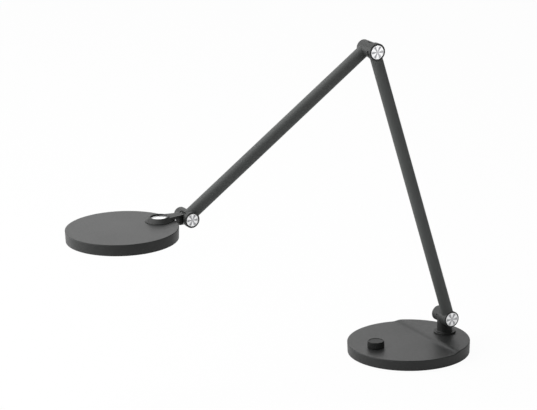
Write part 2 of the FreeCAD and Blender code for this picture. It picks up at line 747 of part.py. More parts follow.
def hinge_hardware(hinge, frame):
    """Bolt, cone washer, nut and friction disc of a hinge; the bolt's head is in front."""
    pocket_floor = "(hinge_front - cap_thick - bolt_pocket_depth)"
    washer_low = f"({pocket_floor} + face_clear)"
    washer_high = f"({washer_low} + cone_washer_thick + cone_washer_rise)"
    under_head = f"({washer_high} + face_clear)"
    head = f"-({under_head} + bolt_head_height)"
    nut_floor = f"({hinge}_hinge_back - cap_thick - nut_pocket_depth)"
    tail = f"{nut_floor} + nut_height"
    turned(f"{hinge}_bolt", frame, ABOUT_Y, [
        (head, "0"), (head, "bolt_head_radius"), (f"-{under_head}", "bolt_head_radius"),
        (f"-{under_head}", "bolt_radius"), (tail, "bolt_radius"), (tail, "0")])
    inner = "bolt_radius + seat_clear"
    outer = "bolt_head_radius"
    turned(f"{hinge}_cone_washer", frame, ABOUT_Y, [
        (f"-{washer_low} - cone_washer_rise", inner), (f"-{washer_high}", inner),
        (f"-{washer_low} - cone_washer_thick", outer), (f"-{washer_low}", outer)])
    hex_nut(f"{hinge}_nut", frame, "XZ_Plane", "nut_radius", inner, f"-({tail})", "nut_height")
    ring(f"{hinge}_friction_disc", frame, ABOUT_Y, inner, f"{hinge}_back_radius - friction_inset",
         f"face_clear - friction_thick / 2 - {hinge}_seam",
         f"friction_thick / 2 - face_clear - {hinge}_seam")


def make_post():
    """The post: a flanged pillar that ends in the back half of the lower hinge and cradles the front."""
    body = new_body("post_housing", POST)
    foot = f"({RAISED_TOP} + face_clear - base_pivot_z)"
    flange_top = f"{foot} + flange_thick"
    revolve(body, ABOUT_Z, [
        ("0", foot), ("flange_radius", foot), ("flange_radius", f"{flange_top} - flange_edge"),
        ("flange_radius - flange_edge", flange_top), ("post_radius + flange_edge", flange_top),
        ("post_radius", f"{flange_top} + flange_edge"), ("post_radius", "0"), ("0", "0")])
    face = back_face("post")
    front = "-post_radius - overrun"
    swept = "post_front_radius + swing_clear"
    above = "post_back_radius"
    revolve(body, ABOUT_Y, [(face, "0"), (face, above), ("post_hinge_back", above),
                            ("post_hinge_back", "0")], cut=True)
    turned_drum(body, face, "post_hinge_back", "post_back_radius")
    revolve(body, ABOUT_Y, [(front, "0"), (front, swept), (face, swept), (face, "0")], cut=True)
    back_bores(body, "post")
    bore = "swivel_tube_radius + seat_clear"
    deep = f"{foot} + swivel_tube_depth"
    revolve(body, ABOUT_Z, [("0", f"{foot} - overrun"), (bore, f"{foot} - overrun"), (bore, deep),
                            ("0", deep)], cut=True)
    screw = [("set_screw_y", "set_screw_z")]
    hole = circles(body, "YZ_Plane", screw, "set_screw_radius + seat_clear", "-post_back_radius")
    pocket(body, hole, "set_screw_depth")
    grub = new_body("post_set_screw", POST)
    start = "set_screw_depth - post_back_radius - set_screw_length"
    pad(grub, circles(grub, "YZ_Plane", screw, "set_screw_radius", start), "set_screw_length")
    plain_cap("post_back_cap", POST, "post_back_radius - back_cap_rim", "post_hinge_back", "cap_thick")
    hinge_hardware("post", POST)


def arm_tube(label, frame, side, length, tube_radius, low_radius, high_radius):
    """A round arm tube, coped at both ends to sit against its hinge barrels."""
    body = new_body(label, frame)
    middle = [("0", f"{side} * arm_offset")]
    pad(body, circles(body, "XY_Plane", middle, tube_radius), length)
    pocket(body, circles(body, "XY_Plane", middle, f"{tube_radius} - tube_wall"), f"{length} + overrun")
    for height, radius in (("0", low_radius), (length, high_radius)):
        cope = circles(body, "XZ_Plane", [("0", height)], f"{radius} + tube_joint_gap")
        pocket(body, cope, f"arm_offset + {tube_radius} + overrun")
    return body


def wire(label, frame, side, end):
    """The lead inside an arm, held in the bores of the two spigots."""
    body = new_body(label, frame)
    middle = [("0", f"{side} * arm_offset")]
    start = "(wire_start + seat_clear)"
    pad(body, circles(body, "XY_Plane", middle, "wire_radius", start), f"{end} - {start}")
    return body


def make_lower_arm():
    front_knuckle("lower_knuckle", LOWER_ARM, "post", 1, "wire_start")
    fluted_cap("post_cap", POST, "(post_front_radius - post_cap_rim)", "hinge_front", "cap_thick")
    arm_tube("lower_tube", LOWER_ARM, -1, "lower_length", "lower_tube_radius", "post_front_radius",
             "elbow_front_radius")
    wire("lower_wire", LOWER_ARM, -1, "lower_length - elbow_front_radius")
    elbow = front_knuckle("elbow_front_knuckle", LOWER_END, "elbow", -1, "elbow_front_radius")
    notch_middle = f"{front_face('elbow')} - lead_notch_length / 2"
    radial_slot(elbow, "(lead_notch_angle - lower_lean)", "elbow_front_radius", "lead_notch_width",
                "lead_notch_depth",
                notch_middle, "(lead_notch_length + seam_gap)")
    fluted_cap("elbow_cap", ELBOW, "(elbow_front_radius - elbow_cap_rim)", "hinge_front", "cap_thick")


def make_head_fork():
    """The upper arm's outer end: a barrel split into a fork, with the head hinge's bolt across it."""
    body = new_body("head_fork", UPPER_END)
    front = "head_hinge_front"
    back = "head_hinge_back"
    wide = "head_front_radius"
    slim = "head_back_radius"
    revolve(body, ABOUT_Y, [
        (f"-{front}", "0"), (f"-{front}", f"{wide} - hinge_edge"), (f"hinge_edge - {front}", wide),
        ("-head_hinge_step", wide), ("-head_hinge_step", slim), (f"{back} - hinge_edge", slim),
        (back, f"{slim} - hinge_edge"), (back, "0")])
    length = f"{slim} + spigot_length"
    middle = [("0", "0")]
    plug = pad(body, circles(body, "XY_Plane", middle, "upper_tube_radius - tube_wall - seat_clear"),
               length)
    plug.Reversed = True
    slot = rectangle(body, "YZ_Plane", ("-fork_slot / 2", "-fork_floor"),
                     ("fork_slot / 2", f"{wide} + overrun"))
    pocket(body, slot, f"{wide} + overrun")
    drum = "neck_drum_radius + swing_clear"
    half_slot = "fork_slot / 2"
    revolve(body, ABOUT_Y, [(f"-{half_slot}", "0"), (f"-{half_slot}", drum), (half_slot, drum),
                            (half_slot, "0")], cut=True)
    hole = "head_bolt_radius + seat_clear"
    front_seat = f"(head_cap_thick - {front})"
    front_floor = f"({front_seat} + head_pocket_depth)"
    back_seat = f"({back} - head_cap_thick)"
    back_floor = f"({back_seat} - head_pocket_depth)"
    front_cap = "(head_front_radius - head_cap_rim)"
    back_cap = "(head_back_radius - back_cap_rim)"
    hinge_bores(body, "0", hole, front_floor, "head_pocket_radius", front_seat, front_cap,
                f"-{front} - overrun")
    hinge_bores(body, "0", hole, back_floor, "head_pocket_radius", back_seat, back_cap, f"{back} + overrun")
    lead = circles(body, "XY_Plane", middle, "wire_radius + wire_clear", f"-({length})")
    pocket(body, lead, f"{length} - neck_drum_radius")

    fluted_cap("head_hinge_cap", HEAD_HINGE, front_cap, front, "head_cap_thick")
    plain_cap("head_hinge_back_cap", HEAD_HINGE, back_cap, back, "head_cap_thick")
    bolt_top = f"{front_floor} - head_bolt_head_height"
    tail = f"{back_floor} + head_nut_height"
    turned("head_hinge_bolt", UPPER_END, ABOUT_Y, [
        (bolt_top, "0"), (bolt_top, "head_bolt_head_radius"), (front_floor, "head_bolt_head_radius"),
        (front_floor, "head_bolt_radius"), (tail, "head_bolt_radius"), (tail, "0")])
    hex_nut("head_hinge_nut", UPPER_END, "XZ_Plane", "head_nut_radius", hole, f"-({tail})",
            "head_nut_height")
    for label, side in (("head_hinge_front_washer", -1), ("head_hinge_back_washer", 1)):
        ring(label, UPPER_END, ABOUT_Y, hole, "neck_drum_radius",
             f"{side} * fork_slot / 2", f"{side} * (fork_slot / 2 - thrust_washer_thick)")


def make_upper_arm():
    body = new_body("elbow_back_knuckle", UPPER_ARM)
    turned_drum(body, back_face("elbow"), "elbow_hinge_back", "elbow_back_radius")
    spigot_for(body, 1, "upper_tube_radius", "elbow_back_radius + spigot_length", 1, "wire_start")
    back_bores(body, "elbow")
    radial_slot(body, "(stop_slot_angle - 90 - upper_drop)", "elbow_back_radius", "stop_slot_width",
                "stop_slot_depth",
                "-stop_slot_y", "stop_slot_length")
    plain_cap("elbow_back_cap", UPPER_ARM, "elbow_back_radius - back_cap_rim", "elbow_hinge_back",
              "cap_thick")
    hinge_hardware("elbow", UPPER_ARM)
    arm_tube("upper_tube", UPPER_ARM, 1, "upper_length", "upper_tube_radius", "elbow_back_radius",
             "head_back_radius")
    wire("upper_wire", UPPER_ARM, 1, "upper_length - head_back_radius")
    make_head_fork()


def make_neck():
    """The ladle-shaped neck: a flared boss on the head, a tapering bar over the rim, and the hinge drum."""
    body = new_body("neck", NECK)
    hinge = ("boss_reach", "-head_rise")
    revolve(body, ABOUT_Z, [("0", "neck_gap"), ("neck_boss_radius", "neck_gap"),
                            ("neck_boss_radius", "neck_gap + neck_round"),
                            ("neck_boss_top_radius", "neck_boss_height - neck_round"),
                            ("neck_boss_top_radius - neck_round", "neck_boss_height"),
                            ("0", "neck_boss_height")])
    bar = body.newObject("PartDesign::AdditiveLoft", "neck_bar")
    root = rectangle(body, "YZ_Plane", ("-neck_root_width / 2", "neck_gap"),
                     ("neck_root_width / 2", "neck_root_top"), "neck_root_x")
    end = rectangle(body, "YZ_Plane", ("-neck_end_width / 2", "neck_gap + neck_lift"),
                    ("neck_end_width / 2", "neck_end_top"),
                    "neck_block_start + neck_block_length")
    bar.Profile = root
    bar.Sections = [end]
    bar.Ruled = True
    block = rectangle(body, "XZ_Plane", ("neck_block_start", "-neck_block_drop"),
                      ("neck_block_start + neck_block_length", "neck_gap + neck_lift + neck_round"))
    pad(body, block, "neck_end_width", both_ways=True)
    fork = circles(body, "XZ_Plane", [hinge], "head_back_radius + swing_clear")
    pocket(body, fork, "neck_end_width")
    stem_low = "-head_rise - neck_drum_radius / 2"
    stem = rectangle(body, "XZ_Plane", ("neck_block_start", stem_low),
                     ("boss_reach", "-head_rise + neck_drum_radius / 2"))
    pad(body, stem, "neck_end_width", both_ways=True)
    drum_width = "fork_slot - 2 * thrust_washer_thick - 2 * face_clear"
    pad(body, circles(body, "XZ_Plane", [hinge], "neck_drum_radius"), drum_width, both_ways=True)
    pocket(body, circles(body, "XZ_Plane", [hinge], "head_bolt_radius + run_clear"), "fork_slot")
    recess = "neck_boss_height - neck_cap_recess - neck_cap_thick"
    head_pocket = f"{recess} - swivel_head_height - 2 * face_clear"
    pin = "swivel_pin_radius + seat_clear"
    screw = "swivel_head_radius + swivel_head_clear"
    disc = "neck_cap_radius + seat_clear"
    revolve(body, ABOUT_Z, [("0", "-overrun"), (pin, "-overrun"), (pin, head_pocket),
                            (screw, head_pocket), (screw, recess),
                            (disc, recess), (disc, "neck_boss_height + overrun"),
                            ("0", "neck_boss_height + overrun")],
            cut=True)
    cap_top = f"{recess} + neck_cap_thick"
    turned("neck_cap", NECK, ABOUT_Z, [("0", recess), ("neck_cap_radius", recess),
                                       ("neck_cap_radius", cap_top), ("0", cap_top)])
    under_roof = "-head_boss_depth - head_roof"
    washer_low = f"{under_roof} - face_clear - lock_washer_thick"
    nut_low = f"{washer_low} - lock_nut_height"
    turned("head_swivel_pin", NECK, ABOUT_Z, [
        ("0", nut_low), ("swivel_pin_radius", nut_low), ("swivel_pin_radius", head_pocket),
        ("swivel_head_radius", head_pocket), ("swivel_head_radius", f"{head_pocket} + swivel_head_height"),
        ("0", f"{head_pocket} + swivel_head_height")])
    ring("head_swivel_washer", NECK, ABOUT_Z, pin, "head_boss_radius", washer_low,
         f"{under_roof} - face_clear")
    hex_nut("head_swivel_nut", NECK, "XY_Plane", "lock_nut_radius", pin, nut_low, "lock_nut_height")


def make_head():
    """The flat round lamp head: a cast shell, the light board under its roof, and the opal diffuser."""
    body = new_body("head_housing", HEAD)
    low_radius = "head_radius - head_draft"
    inner = f"{low_radius} - head_wall"
    seat = f"{DIFFUSER_RADIUS} + seat_clear"
    seat_top = "diffuser_seat - head_thick"
    revolve(body, ABOUT_Z, [("0", "-head_thick"), (low_radius, "-head_thick"), ("head_radius", "0"),
                            ("0", "0")])
    edge_radius = value("head_radius - overrun")
    top_level = value("-head_thick / 2")
    round_edges(body, "head_edge_round",
                lambda edge: edge.BoundBox.ZMin > top_level and edge.BoundBox.XMax > edge_radius)
    cavity = f"{DIFFUSER_RADIUS} - diffuser_ledge"
    revolve(body, ABOUT_Z, [("0", "-head_thick - overrun"),
                            (f"{seat} + ring_width", "-head_thick - overrun"),
                            (f"{seat} + ring_width", "ring_thick - head_thick"),
                            (seat, "ring_thick - head_thick"),
                            (seat, seat_top), (cavity, seat_top), (cavity, "-head_roof"),
                            ("0", "-head_roof")], cut=True)
    swivel = [(SWIVEL_REACH, "0")]
    pad(body, circles(body, "XY_Plane", swivel, "head_boss_radius", "-head_boss_depth - head_roof"),
        "head_boss_depth + head_roof")
    pocket(body, circles(body, "XY_Plane", swivel, "swivel_pin_radius + run_clear"),
           "head_boss_depth + head_roof + overrun")

    board_radius = f"{cavity} - light_board_inset"
    board_low = "-head_roof - light_board_thick"
    board = turned("light_board", HEAD, ABOUT_Z,
                   [("0", board_low), (board_radius, board_low), (board_radius, "-head_roof"),
                    ("0", "-head_roof")])
    pocket(board, circles(board, "XY_Plane", swivel, "light_board_cutout", board_low),
           "light_board_thick + overrun")

    chips = []
    ring_step = f"({board_radius} - chip_margin) / {len(CHIPS_PER_RING)}"
    for ring_number, count in enumerate(CHIPS_PER_RING, start=1):
        for x, y in around(f"{ring_step} * {ring_number}", count, FULL_TURN / count / 2):
            far = value("light_board_cutout + chip_size")
            if FreeCAD.Vector(value(f"{x} - {SWIVEL_REACH}"), value(y), 0).Length < far:
                continue
            chip = document.addObject("Part::Box", "chip")
            for side, size in (("Length", "chip_size"), ("Width", "chip_size"), ("Height", "chip_height")):
                chip.setExpression(side, cells(size))
            for axis, text in (("x", f"{x} - chip_size / 2"), ("y", f"{y} - chip_size / 2"),
                               ("z", f"{board_low} - chip_height")):
                chip.setExpression(f"Placement.Base.{axis}", cells(text))
            chips.append(chip)
    group = document.addObject("Part::Compound", "light_chips")
    group.Links = chips
    place(group, HEAD)
    keep(group, "light_chips")

    glass_low = f"{seat_top} - diffuser_thick"
    turned("diffuser", HEAD, ABOUT_Z, [("0", glass_low), (DIFFUSER_RADIUS, glass_low),
                                       (DIFFUSER_RADIUS, seat_top), ("0", seat_top)])
    ring("diffuser_ring", HEAD, ABOUT_Z, f"{DIFFUSER_RADIUS} - ring_width",
         f"{DIFFUSER_RADIUS} + ring_width",
         "-head_thick", "ring_thick - head_thick")


make_base_cover()
make_base()
make_electronics()
make_knob()
make_swivel()
make_post()
make_lower_arm()
make_upper_arm()
make_neck()
make_head()
document.recompute()

failed = [item.Name for item in document.Objects if {"Invalid", "Error"} & set(item.State)]
if failed:
    raise RuntimeError(f"features failed: {failed}")
for label, piece in subparts.items():
    if piece.Shape.isNull() or not piece.Shape.isValid() or not piece.Shape.Solids:
        raise RuntimeError(f"{label} has no valid solid")

os.makedirs("parts", exist_ok=True)
for label, piece in subparts.items():
    piece.Shape.exportStep(os.path.join("parts", f"{label}.step"))
    box = piece.Shape.BoundBox
    low = (box.XMin, box.YMin, box.ZMin)
    high = (box.XMax, box.YMax, box.ZMax)
    spans = ", ".join(f"{axis} {start:.1f} to {end:.1f}" for axis, start, end in zip("xyz", low, high))
    print(f"{label}: {len(piece.Shape.Solids)} solid(s), {piece.Shape.Volume:.0f} mm3, {spans}")
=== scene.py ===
# %% [markdown]
# # A folding LED desk lamp
# The lamp is already modelled as solids, one for each real piece. This lesson loads them as a
# fixed frame, finishes every surface with a procedural material, adds the grip ribs that the
# solids leave out, and sets up the light and the camera. Everything is in metres, with +Z up and
# the desk at zero.

# %% Load the frame
import json
import math

import bpy
from mathutils import Matrix, Vector


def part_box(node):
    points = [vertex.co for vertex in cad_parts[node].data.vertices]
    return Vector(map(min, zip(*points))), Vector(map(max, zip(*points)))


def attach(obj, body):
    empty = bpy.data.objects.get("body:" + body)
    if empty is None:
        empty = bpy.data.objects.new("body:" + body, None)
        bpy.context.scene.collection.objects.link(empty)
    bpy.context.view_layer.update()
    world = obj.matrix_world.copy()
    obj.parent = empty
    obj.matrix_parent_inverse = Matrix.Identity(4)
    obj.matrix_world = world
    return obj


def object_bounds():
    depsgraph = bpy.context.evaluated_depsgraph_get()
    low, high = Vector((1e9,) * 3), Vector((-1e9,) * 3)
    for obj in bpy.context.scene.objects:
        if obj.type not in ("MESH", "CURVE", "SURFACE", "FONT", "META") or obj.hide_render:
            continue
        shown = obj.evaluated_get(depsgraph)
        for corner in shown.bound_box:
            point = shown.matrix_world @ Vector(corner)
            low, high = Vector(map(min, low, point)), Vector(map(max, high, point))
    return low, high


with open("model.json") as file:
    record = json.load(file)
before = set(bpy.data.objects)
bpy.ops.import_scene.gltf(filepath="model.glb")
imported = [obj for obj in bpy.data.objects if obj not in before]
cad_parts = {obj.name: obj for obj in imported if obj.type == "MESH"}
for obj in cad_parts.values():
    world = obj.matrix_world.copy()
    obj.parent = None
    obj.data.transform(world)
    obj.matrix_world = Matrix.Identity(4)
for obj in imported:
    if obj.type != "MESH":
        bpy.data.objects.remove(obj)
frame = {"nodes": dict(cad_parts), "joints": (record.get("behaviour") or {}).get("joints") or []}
nodes = frame["nodes"]
cad_low, cad_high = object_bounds()
print("solids:", len(nodes), "box:", tuple(cad_low), tuple(cad_high))

# %% [markdown]
# ## The camera
# The picture was taken from far away with a long lens, a little above the lamp and from its left,
# so lines that are parallel stay nearly so. A camera is easiest to state as the point it looks at,
# the two angles it looks from, a small roll, and a distance. The columns of its matrix are its
# right, up and backward axes.

# %% Place the camera
LOOK_AT = Vector((-0.19716, 0.10965, 0.25102))
VIEW_AZIMUTH = math.radians(-29.08)
VIEW_ELEVATION = math.radians(16.68)
VIEW_ROLL = math.radians(0.58)
VIEW_DISTANCE = 4.8154
LENS_MM = 201.1
SENSOR_MM = 36.0

view_right = Vector((math.cos(VIEW_AZIMUTH), math.sin(VIEW_AZIMUTH), 0))
view_forward = Vector((-math.sin(VIEW_AZIMUTH) * math.cos(VIEW_ELEVATION),
                       math.cos(VIEW_AZIMUTH) * math.cos(VIEW_ELEVATION),
                       -math.sin(VIEW_ELEVATION)))
view_up = view_right.cross(view_forward)
rolled_right = view_right * math.cos(VIEW_ROLL) - view_up * math.sin(VIEW_ROLL)
rolled_up = view_right * math.sin(VIEW_ROLL) + view_up * math.cos(VIEW_ROLL)

camera = bpy.data.objects.new("camera", bpy.data.cameras.new("camera"))
bpy.context.scene.collection.objects.link(camera)
camera.data.lens = LENS_MM
camera.data.sensor_width = SENSOR_MM
camera_axes = Matrix((rolled_right, rolled_up, -view_forward)).transposed().to_4x4()
camera.matrix_world = Matrix.Translation(LOOK_AT - view_forward * VIEW_DISTANCE) @ camera_axes
bpy.context.scene.camera = camera
bpy.context.scene.view_settings.view_transform = "Standard"
print("camera at", tuple(round(x, 3) for x in camera.location))

# %% [markdown]
# ## Shader maths as plain Python
# Materials are easier to read when a sum looks like a sum. `Field` wraps a socket whose value
# changes over a surface, and its operators add Math nodes. `Shading` wraps a whole node tree: its
# `node` method makes any other node from its type, its settings and what its sockets take, and a
# few short methods name the nodes that are wanted often. `Finish` is a tree with a material
# around it.

# %% Wrap a socket
class Field:
    """A socket whose value changes over a surface."""

    def __init__(self, shading, socket):
        self.shading = shading
        self.socket = socket

    def math(self, operation, first, second):
        return self.shading.node("ShaderNodeMath", {"operation": operation}, {0: first, 1: second})

    def __add__(self, other):
        return self.math("ADD", self, other)

    def __radd__(self, other):
        return self.math("ADD", other, self)

    def __sub__(self, other):
        return self.math("SUBTRACT", self, other)

    def __rsub__(self, other):
        return self.math("SUBTRACT", other, self)

    def __mul__(self, other):
        return self.math("MULTIPLY", self, other)

    def __rmul__(self, other):
        return self.math("MULTIPLY", other, self)

    def __pow__(self, other):
        return self.math("POWER", self, other)

    def __gt__(self, other):
        return self.math("GREATER_THAN", self, other)

    def __lt__(self, other):
        return self.math("LESS_THAN", self, other)


# %% Wrap a node tree
MIX_FACTOR = 0
MIX_COLOURS = (6, 7)
MIX_RESULT = 2


class Shading:
    """A shader node tree, of a material or of the world."""

    def __init__(self, tree):
        self.tree = tree

    def feed(self, socket, value):
        if isinstance(value, Field):
            self.tree.links.new(value.socket, socket)
        else:
            socket.default_value = value

    def node(self, kind, settings, inputs, out=0):
        made = self.tree.nodes.new(kind)
        for name, value in settings.items():
            setattr(made, name, value)
        for socket, value in inputs.items():
            self.feed(made.inputs[socket], value)
        return Field(self, made.outputs[out])

    def place(self, centre=(0, 0, 0), scale=(1, 1, 1)):
        """Object coordinates counted from a centre and stretched."""
        where = self.node("ShaderNodeTexCoord", {}, {}, "Object")
        shift = [-c * s for c, s in zip(centre, scale)]
        return self.node("ShaderNodeMapping", {},
                         {"Vector": where, "Location": shift, "Scale": scale})

    def noise(self, where, per_metre, detail=2.0):
        return self.node("ShaderNodeTexNoise", {},
                         {"Vector": where, "Scale": per_metre, "Detail": detail})

    def axes(self, where):
        """The three coordinates of a vector."""
        split = self.node("ShaderNodeSeparateXYZ", {}, {0: where}).socket.node
        return [Field(self, socket) for socket in split.outputs]

    def ramp(self, value, start, end):
        """A smooth step: 0 at the start, 1 at the end."""
        return self.node("ShaderNodeMapRange", {"interpolation_type": "SMOOTHSTEP"},
                         {"Value": value, "From Min": start, "From Max": end})

    def blend(self, factor, low, high):
        """One colour where the factor is 0, another where it is 1."""
        first, second = MIX_COLOURS
        return self.node("ShaderNodeMix", {"data_type": "RGBA"},
                         {MIX_FACTOR: factor, first: low, second: high}, MIX_RESULT)

    def ray(self, kind):
        """1 for rays of one kind, such as Camera or Glossy, and 0 for the others."""
        return self.node("ShaderNodeLightPath", {}, {}, f"Is {kind} Ray")


# %% Wrap a material
class Finish(Shading):
    """One procedural material around a Principled shader."""

    def __init__(self, name, **constants):
        self.material = bpy.data.materials.new(name)
        self.material.use_nodes = True
        super().__init__(self.material.node_tree)
        self.shader = self.tree.nodes["Principled BSDF"]
        for socket, constant in constants.items():
            self.set(socket.replace("_", " "), constant)

    def set(self, socket, value):
        self.feed(self.shader.inputs[socket], value)

    def bump(self, height, depth=1.0, strength=1.0):
        """Relief: a height, in metres once the depth has scaled it."""
        made = self.node("ShaderNodeBump", {},
                         {"Height": height, "Distance": depth, "Strength": strength})
        self.set("Normal", made)


# %% [markdown]
# ## Small helpers for every finish
# No real surface has one tone or one gloss. `weighted` mixes two patterns, `wander` lets a value
# stray a little about its middle, and `grey` makes a neutral colour. `dress` puts a finished
# material on the solids that are made of it; their meshes stay as they are.

# %% Mix, wander and dress
def weighted(first, second, share):
    """A share of one field and the rest of another."""
    return first * share + second * (1 - share)


def wander(middle, *swings):
    """A value that strays about its middle; each swing is a field from 0 to 1 and its reach."""
    value = middle - sum(reach for field, reach in swings) / 2
    for field, reach in swings:
        value = field * reach + value
    return value


def grey(level, tint=0.0):
    """A neutral colour, a little greener with a larger tint."""
    return (level, level * (1 + tint), level * (1 + tint / 2), 1.0)


BLACK = grey(0.0)
WHITE = grey(1.0)


def dress(material, *names):
    """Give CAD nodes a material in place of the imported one."""
    for name in names:
        nodes[name].data.materials.clear()
        nodes[name].data.materials.append(material)
    print(material.name, "on", ", ".join(names))


# %% [markdown]
# ## The dark satin paint
# The tubes, hinges and head are castings under a charcoal powder paint. Close up it has a fine
# grain like orange peel; from a step away it is a soft even sheen. Three noises do that: a fine
# one for the grain, in the relief and the colour, a coarser one for the peel, and a broad one that
# lets tone and gloss wander. In slots a mask on the distance from a hinge's axis paints shade: what
# lies deep in a slot is darkened, as little light reaches there. The post's foot stands in the
# shade of its hinge and looks almost black, so a ramp on the height paints that shade on it too.

# %% Satin paint
PAINT_TINT = 0.05
PAINT_SPREAD = 0.28
PAINT_RELIEF = 0.00006
GRAIN_PER_METRE = 1400.0
GRAIN_COLOUR_SHARE = 0.6
GRAIN_RELIEF_SHARE = 0.5
PEEL_PER_METRE = 420.0
PEEL_ROUGHNESS = 0.10
DRIFT_PER_METRE = 14.0
DRIFT_DETAIL = 1.0
DRIFT_ROUGHNESS = 0.05
RECESS_SHADE_SHARE = 0.03


def satin_paint(name, level, rough=0.48, gloss=0.26, recess_shade=None, foot_shade=None):
    """Charcoal satin. The recess argument is (axis point, radius, low y, high y) of a slotted
    barrel, where painted shade darkens the slot; the foot argument is (low z, high z, level) of a
    lower end darkened by painted shade."""
    finish = Finish(name, Specular_IOR_Level=gloss)
    where = finish.place()
    grain = finish.noise(where, GRAIN_PER_METRE)
    peel = finish.noise(where, PEEL_PER_METRE)
    drift = finish.noise(where, DRIFT_PER_METRE, DRIFT_DETAIL)
    colour = finish.blend(weighted(grain, drift, GRAIN_COLOUR_SHARE),
                          grey(level * (1 - PAINT_SPREAD), PAINT_TINT),
                          grey(level * (1 + PAINT_SPREAD), PAINT_TINT))
    # Painted shade: deep in a slot, close to the hinge's axis, the colour goes nearly black for the
    # shade there.
    if recess_shade:
        point, radius, low, high = recess_shade
        across, along, upward = finish.axes(finish.place(point))
        distance = (across * across + upward * upward) ** 0.5
        slot_shade_mask = (distance < radius) * (along > low) * (along < high)
        colour = finish.blend(slot_shade_mask, colour, grey(level * RECESS_SHADE_SHARE))
    # Painted shade: the post's foot, below its hinge, fades to a darker level for the hinge's
    # shade.
    if foot_shade:
        low, high, dark = foot_shade
        upward = finish.axes(where)[2]
        colour = finish.blend(finish.ramp(upward, low, high), grey(dark, PAINT_TINT), colour)
    finish.set("Base Color", colour)
    finish.set("Roughness", wander(rough, (peel, PEEL_ROUGHNESS), (drift, DRIFT_ROUGHNESS)))
    finish.bump(grain * GRAIN_RELIEF_SHARE + peel, PAINT_RELIEF)
    return finish.material


# %% Paint the arms, hinges, neck and head
HINGE_LEVEL = 0.032
ARM_LEVEL = 0.070
NECK_LEVEL = 0.020
HEAD_LEVEL = 0.017
# The post's foot gets painted shade: its level, how far below the lower hinge it starts, and over
# what height it fades.
FOOT_SHADE_LEVEL = 0.010
FOOT_BELOW_HINGE = 0.012
FOOT_FADE = 0.008
# The elbow's slots get painted shade: it starts this far below the barrel's surface and covers each
# slot's span along the axis.
SLOT_SKIN = 0.0005
ELBOW_BACK_RADIUS = 0.0124
STOP_SLOT = (-0.0085, 0.0050)
LEAD_NOTCH = (-0.0175, -0.0118)


def joint_point(name):
    return Vector(next(joint["pos_m"] for joint in frame["joints"] if joint["name"] == name))


dress(satin_paint("arm_paint", ARM_LEVEL, gloss=0.20), "lower_tube", "upper_tube")
dress(satin_paint("hinge_paint", HINGE_LEVEL), "lower_knuckle", "head_fork")
dress(satin_paint("neck_paint", NECK_LEVEL), "neck")
dress(satin_paint("head_paint", HEAD_LEVEL, rough=0.42, gloss=0.30), "head_housing")

# Painted shade on the post's foot, which stands in its hinge's shade.
foot_low = joint_point("lower_tilt").z - FOOT_BELOW_HINGE
foot_shade = (foot_low, foot_low + FOOT_FADE, FOOT_SHADE_LEVEL)
dress(satin_paint("post_paint", HINGE_LEVEL, foot_shade=foot_shade), "post_housing")

elbow = joint_point("elbow_tilt")
elbow_front_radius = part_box("elbow_front_knuckle")[1].z - elbow.z
# Painted shade for the stop slot and the lead notch.
stop_slot_shade = (elbow, ELBOW_BACK_RADIUS - SLOT_SKIN, *STOP_SLOT)
lead_notch_shade = (elbow, elbow_front_radius - SLOT_SKIN, *LEAD_NOTCH)
dress(satin_paint("elbow_back_paint", HINGE_LEVEL, recess_shade=stop_slot_shade), "elbow_back_knuckle")
dress(satin_paint("elbow_front_paint", HINGE_LEVEL, recess_shade=lead_notch_shade), "elbow_front_knuckle")

# %% [markdown]
# ## The base shell, the knob and small mouldings
# These are moulded in a slightly duller plastic of the same colour, with a spark-eroded texture: a
# fine even noise of sharper pits than the paint's grain. The knob's face is finer than the rest.
# The step across the base is in the solid, and a little relief along it makes its edge as crisp as
# a mould's. Bearing rings are the same plastic left white.

# %% Moulded plastic
PITS_PER_METRE = 2200.0
PITS_COLOUR_SHARE = 0.5
PITS_RELIEF_SHARE = 0.6
PITS_RELIEF = 0.00005
PLASTIC_SPREAD = 0.2
HAZE_PER_METRE = 160.0
HAZE_ROUGHNESS = 0.08


def moulded(name, level, rough, gloss=0.40, pits_per_metre=PITS_PER_METRE, relief=PITS_RELIEF,
            step=None):
    """Plastic with fine pits; step is (low x, high x, low z, depth) of a rise across its top."""
    finish = Finish(name, Specular_IOR_Level=gloss)
    where = finish.place()
    pits = finish.node("ShaderNodeTexVoronoi", {}, {"Vector": where, "Scale": pits_per_metre},
                       "Distance")
    drift = finish.noise(where, DRIFT_PER_METRE, DRIFT_DETAIL)
    haze = finish.noise(where, HAZE_PER_METRE)
    colour = finish.blend(weighted(pits, drift, PITS_COLOUR_SHARE),
                          grey(level * (1 + PLASTIC_SPREAD), PAINT_TINT),
                          grey(level * (1 - PLASTIC_SPREAD), PAINT_TINT))
    finish.set("Base Color", colour)
    finish.set("Roughness", wander(rough, (haze, HAZE_ROUGHNESS), (drift, DRIFT_ROUGHNESS)))
    height = pits * (relief * PITS_RELIEF_SHARE)
    if step:
        start, end, above, depth = step
        across, _, upward = finish.axes(where)
        height = height + finish.ramp(across, start, end) * (upward > above) * depth
    finish.bump(height)
    return finish.material


# %% Mould the base, knob, back caps and bearings
STEP_START_X = 0.0315
STEP_END_X = 0.0365
STEP_ABOVE_Z = 0.0175
STEP_RELIEF = 0.0004

